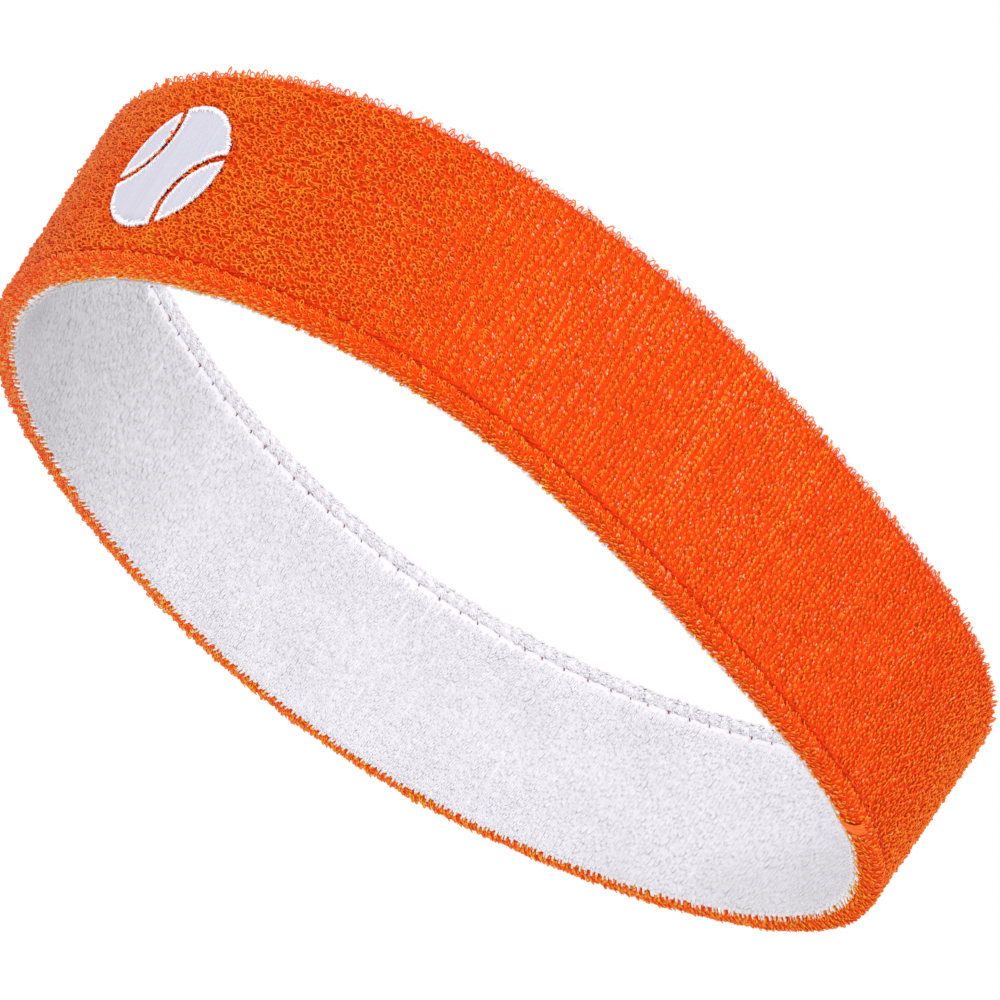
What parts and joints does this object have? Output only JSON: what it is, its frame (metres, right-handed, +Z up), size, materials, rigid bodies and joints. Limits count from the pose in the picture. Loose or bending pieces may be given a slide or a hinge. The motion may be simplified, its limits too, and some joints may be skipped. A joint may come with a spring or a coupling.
{
  "type": "sports headband",
  "caption": "Double-layer terry knit headband at worn size, with a rolled welt on each edge, laid-in elastic and an embroidered ball emblem at the front.",
  "frame": {"origin": "middle of the length and width of the band, on the plane of its lower edge", "axes": "+Z up towards the crown of the head, -Y forwards through the emblem, +X to the side that is right in a front view"},
  "size_m": [0.1812, 0.2046, 0.045],
  "materials": {
    "orange_terry": "looped cotton terry, matt with a soft sheen",
    "white_terry": "looped cotton terry, matt",
    "orange_thread": "twisted polyester thread",
    "red_thread": "twisted polyester thread",
    "white_thread": "twisted polyester thread",
    "satin_thread": "satin-stitched embroidery thread, silky",
    "elastic": "covered rubber thread",
    "stabiliser": "non-woven embroidery backing"
  },
  "bodies": {
    "root": {"outer_terry_layer": "orange_terry", "inner_terry_layer": "white_terry", "lower_welt": "orange_terry", "upper_welt": "white_terry", "lower_linking_thread": "orange_thread", "upper_linking_thread": "red_thread", "lower_edge_stitch": "white_thread", "upper_edge_stitch": "orange_thread", "linking_tack": "orange_thread", "elastic_thread_1": "elastic", "elastic_thread_2": "elastic", "elastic_thread_3": "elastic", "elastic_thread_4": "elastic", "elastic_thread_5": "elastic", "elastic_thread_6": "elastic", "emblem_centre_panel": "satin_thread", "emblem_left_panel": "satin_thread", "emblem_right_panel": "satin_thread", "emblem_backing": "stabiliser"}
  },
  "joints": []
}
